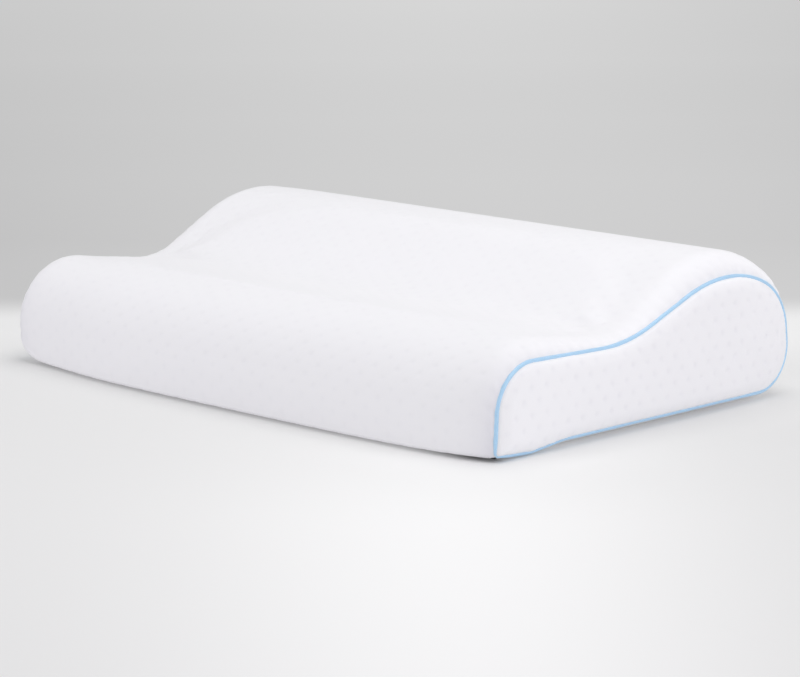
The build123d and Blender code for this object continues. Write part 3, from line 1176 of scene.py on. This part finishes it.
def foam_material(name):
    """Foam's open cells: small pits of uneven size."""
    material, inputs, vector, *_ = new_material(name, FOAM_SHADER, "Object")
    settings = {"Vector": vector, "Scale": 1 / (FOAM_CELL * MM)}
    cells = Value(add_node(vector.tree, "TexVoronoi", settings).outputs["Distance"])
    paint_and_bump(inputs, mixed(cells, vector, FOAM_MIX), FOAM_COLOURS, FOAM_BUMP)
    return material


def hard_material(name, colours, roughness, wear):
    """Enamelled metal or moulded plastic: faint mottling, and wear where an edge is sharp."""
    material, inputs, vector, *_ = new_material(name, {}, "Object")
    mottle = noise(vector, *HARD_MOTTLE)
    pointed = Value(add_node(vector.tree, "NewGeometry", {}).outputs["Pointiness"])
    tone = mottle * HARD_MOTTLE_TONE + smooth_range(pointed, *HARD_EDGE) * wear
    paint(inputs, tone, colours)
    feed(inputs["Roughness"], mottle * HARD_MOTTLE_ROUGHNESS + roughness)
    add_bump(inputs, mottle, HARD_BUMP)
    return material


# --- Build ---


def finish(piece, material, nodes):
    """Finishes a piece of the pillow body: its material and what it stands for."""
    piece.data.materials.append(material)
    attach(piece, "pillow")
    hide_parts(*nodes)


def finish_liner(piece, node):
    """Finishes a piece of the liner, a thin sheet stretched over the foam."""
    finish(piece, liner, [node])


def side_panel(name, grid, u, v, from_seam):
    """One side panel as a piece. It keeps how near each front point is to an end seam, for the shade
    painted there."""
    made, used = thick_grid(name, grid, COVER_THICKNESS, np.stack([u, v], axis=2))
    # Painted shade: how strongly the front is darkened by each end seam.
    near = np.exp(-from_seam / SEAM_SHADE_REACH) * (1 - smooth_step(v, *SEAM_SHADE_TURN))
    attribute = made.data.attributes.new(SEAM_SHADE, "FLOAT", "POINT")
    shade = np.concatenate([near.ravel()] * 2)[used]
    attribute.data.foreach_set("value", shade.astype(np.float32))
    return made


# The last number is how much painted shade falls in the dimples.
wrap_knit = knit_material("cover_knit_wrap", WRAP_REPEAT, 0.10)
end_knit = knit_material("cover_knit_end", END_REPEAT, 0.21)
blue = piping_material("piping_fabric")
foam = foam_material("memory_foam")
liner = woven_material("liner_tricot", ((0.66, 0.66, 0.68), (0.82, 0.82, 0.84)), 0.8, 1.1)
cotton = woven_material("cotton_yarn", ((0.62, 0.60, 0.55), (0.84, 0.83, 0.79)), 0.5, 0.5)
tape_weave = woven_material("zip_tape_weave", ((0.62, 0.62, 0.64), (0.80, 0.80, 0.82)), 0.5, 0.7)
thread = woven_material("white_thread", ((0.70, 0.70, 0.72), (0.86, 0.86, 0.88)), 0.35, 0.35)
nylon = hard_material("coil_nylon", ((0.70, 0.70, 0.72), (0.84, 0.84, 0.86)), 0.32, 0.2)
enamel = hard_material("black_enamel", ((0.008, 0.008, 0.010), (0.06, 0.06, 0.065)), 0.28, 0.6)

wrap = side_cloth(WRAP_MARKS)
bottom = side_cloth(BOTTOM_MARKS)
finish(side_panel("cover_wrap", *wrap), wrap_knit, ["top_panel"])
finish(side_panel("cover_bottom", *bottom), wrap_knit, ["bottom_panel"])
hems = [wrap[0][STITCH_ROW], bottom[0][-1 - STITCH_ROW]]
finish(hem_stitches("hem_stitches", hems), thread, [])
finish(foam_core(), foam, ["foam_core"])
finish_liner(liner_wrap(), "liner_wrap")
for label, side in (("left", -1), ("right", 1)):
    end = end_panel(f"cover_{label}_end", side)
    finish(end, end_knit, [f"{label}_end_panel"])
    sleeve = closed_tube(seam_path(side, PIPING_STEP), piping_radius, PIPING_SIDES)
    sleeve = make_object(f"cover_{label}_piping", *sleeve)
    finish(sleeve, blue, [f"{label}_piping"])
    cord = piping_cord(f"{label}_cord_strands", side)
    finish(cord, cotton, [f"{label}_piping_cord"])
    cap = liner_end(f"liner_{label}_cap", side)
    finish_liner(cap, f"liner_{label}_end")
for label, side in (("front", -1), ("rear", 1)):
    for make, name, kind, material in (
        (zip_tape, "tape_strip", "zip_tape", tape_weave),
        (zip_coil, "coil_wire", "zip_coil", nylon),
    ):
        node = f"{kind}_{label}"
        finish(make(f"{label}_{name}", node, side), material, [node])
for node in ("zip_end_stop", "zip_slider", "zip_pull_tab"):
    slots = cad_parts[node].data.materials
    slots.clear()
    slots.append(enamel)


# --- Floor, light and camera ---

CAMERA_PLACE = (1.9174, -1.9481, 0.5664)
CAMERA_AZIMUTH = math.radians(44.368)
CAMERA_ELEVATION = math.radians(11.029)
CAMERA_LENS = 142.25
CAMERA_SENSOR = 36.0
CAMERA_REACH = 100.0
FLOOR_HALF_SIZE = 14.0
FLOOR_HEIGHT = -0.0003
WORLD_STRENGTH = 0.44

# Each soft light: its name, its place, what it points at, its size, its power in watts and its
# colour
WHITE = (1.0, 1.0, 1.0)
LAVENDER = (1.0, 0.97, 1.03)
SOFTBOXES = (
    ("key", (0.95, -0.30, 1.60), (0.10, 0.0, 0.05), 1.2, 3.4, WHITE),
    ("front_fill", (-0.60, -2.00, 0.50), (0.0, -0.19, 0.05), 0.9, 11.2, LAVENDER),
    ("overhead", (0.0, 0.30, 1.80), (0.0, 0.0, 0.10), 1.5, 14.8, WHITE),
    ("side_fill", (2.20, 0.30, 0.70), (0.30, 0.0, 0.05), 1.2, 14.9, LAVENDER),
)

# The floor's paint, by how far a point lies beyond the origin and to the right of it, in metres, as
# the photographer stands: pale in front of the pillow and greyer beyond it, with a painted pool of
# light in front of the pillow, painted light just behind it and painted shade in front to the right.
# It glows a little near the pillow, which paints its shadow lighter, and like a lit backdrop far off.
FLOOR_NEAR = 0.79
FLOOR_FAR = 0.583
FLOOR_TURN = (0.26, 0.40)
# Painted pool of light: paler floor in front of the pillow, round the middle.
FLOOR_POOL = 0.145
FLOOR_POOL_PLACE = (0.05, 0.20)
FLOOR_POOL_TURN = (-0.55, -0.10)
# Painted light: paler floor just behind the pillow, against the shade there.
FLOOR_EDGE = 0.09
FLOOR_EDGE_TURN = (0.0, 0.22)
FLOOR_GLOW = 0.15
# Places where the floor glows more or less than that: (x, width, y, width, how much more)
FLOOR_SPOTS = (
    # The first spot paints the shadow darker under the right front corner; the other two paint the
    # shadows lighter past the rear right corner and past the left end.
    (0.278, 0.045, -0.192, 0.035, -0.1425),
    (0.330, 0.050, 0.175, 0.060, 0.20),
    (-0.315, 0.050, -0.160, 0.050, 0.12),
)
# Painted shade: darker floor in front and to the right.
FLOOR_SHADE = 0.06
FLOOR_SHADE_RIGHT = (0.02, 0.36)
FLOOR_SHADE_TURN = (-0.25, -0.02)
FLOOR_GRAIN = 0.006
FLOOR_GRAIN_SCALE = 260.0
FLOOR_SHADER = {"Emission Strength": 1.0, "Roughness": 0.9, "Specular IOR Level": 0.0}
# A painted pool of light in the backdrop's glow, a little to the right of the middle.
BACKDROP_POOL = 0.085
BACKDROP_POOL_PLACE = (0.12, 0.65)
# How much it glows, by how far off: (distance, glow)
BACKDROP_GLOW = (
    (0.4, 0.0), (0.75, 0.02), (1.22, 0.105), (1.83, 0.19), (2.67, 0.268), (3.73, 0.313), (8.0, 0.34)
)


def floor_glow(x, y):
    """How much the floor glows near the pillow, which paints its shadow lighter, and less in one
    spot, which paints it darker.
    """
    glow = FLOOR_GLOW
    for spot_x, x_width, spot_y, y_width, more in FLOOR_SPOTS:
        glow = bell(x, spot_x, x_width) * bell(y, spot_y, y_width) * more + glow
    return glow


def backdrop_glow(beyond, right):
    """How much the floor glows far off, where it stands for the backdrop."""
    reach = BACKDROP_GLOW[-1][0]
    stops = [(distance / reach, (glow,) * 3) for distance, glow in BACKDROP_GLOW]
    return ramp(beyond * (1 / reach), stops) + bell(right, *BACKDROP_POOL_PLACE) * BACKDROP_POOL


def floor_material():
    """Pale studio paper: matt, with a painted pool of light in front of the pillow, painted light
    behind it and painted shade in front to the right, a glow that paints the pillow's shadow lighter,
    and a glow far off that stands for a lit backdrop.
    """
    material, inputs, vector, x, y = new_material("studio_floor", FLOOR_SHADER, "Object")
    cosine, sine = math.cos(CAMERA_AZIMUTH), math.sin(CAMERA_AZIMUTH)
    beyond = x * -sine + y * cosine
    right = x * cosine + y * sine
    far = smooth_range(beyond, *FLOOR_TURN)
    # Painted pool of light in front, painted light behind the pillow, and painted shade to the right.
    pool = fading(beyond, *FLOOR_POOL_TURN) * bell(right, *FLOOR_POOL_PLACE)
    edge = smooth_range(beyond, *FLOOR_EDGE_TURN)
    shade = fading(beyond, *FLOOR_SHADE_TURN) * smooth_range(right, *FLOOR_SHADE_RIGHT)
    glow = floor_glow(x, y)
    near = pool * FLOOR_POOL + edge * FLOOR_EDGE + FLOOR_NEAR - shade * FLOOR_SHADE - glow
    grain = noise(vector, FLOOR_GRAIN_SCALE) * FLOOR_GRAIN
    feed(inputs["Base Color"], near - far * (near - FLOOR_FAR) + grain)
    feed(inputs["Emission Color"], far * (backdrop_glow(beyond, right) - glow) + glow)
    return material


def make_floor():
    """A wide sheet of paper just under the pillow."""
    half = FLOOR_HALF_SIZE
    corners = [(-half, -half, 0), (half, -half, 0), (half, half, 0), (-half, half, 0)]
    mesh = bpy.data.meshes.new("studio_floor")
    mesh.from_pydata(corners, [], [(0, 1, 2, 3)])
    mesh.materials.append(floor_material())
    made = linked("studio_floor", mesh)
    made.location.z = FLOOR_HEIGHT


def make_softbox(name, place, target, size, power, colour):
    """A square soft light that points at the target."""
    data = bpy.data.lights.new(name, "AREA")
    data.shape = "SQUARE"
    data.size = size
    data.energy = power
    data.color = colour
    made = linked(name, data)
    made.location = place
    made.rotation_euler = (Vector(target) - Vector(place)).to_track_quat("-Z", "Y").to_euler()
    made.visible_camera = False


def make_world():
    """An even white light from all round."""
    world = bpy.data.worlds.new("studio")
    bpy.context.scene.world = world
    world.use_nodes = True
    background = world.node_tree.nodes["Background"]
    feed(background.inputs["Color"], (*WHITE, 1.0))
    feed(background.inputs["Strength"], WORLD_STRENGTH)


def make_camera():
    """The camera where the photographer stood."""
    data = bpy.data.cameras.new("camera")
    data.lens = CAMERA_LENS
    data.sensor_width = CAMERA_SENSOR
    data.clip_end = CAMERA_REACH
    made = linked("camera", data)
    made.location = CAMERA_PLACE
    made.rotation_euler = (math.pi / 2 - CAMERA_ELEVATION, 0, CAMERA_AZIMUTH)
    bpy.context.scene.camera = made


make_floor()
make_world()
for softbox in SOFTBOXES:
    make_softbox(*softbox)
make_camera()
bpy.context.scene.view_settings.view_transform = "Standard"
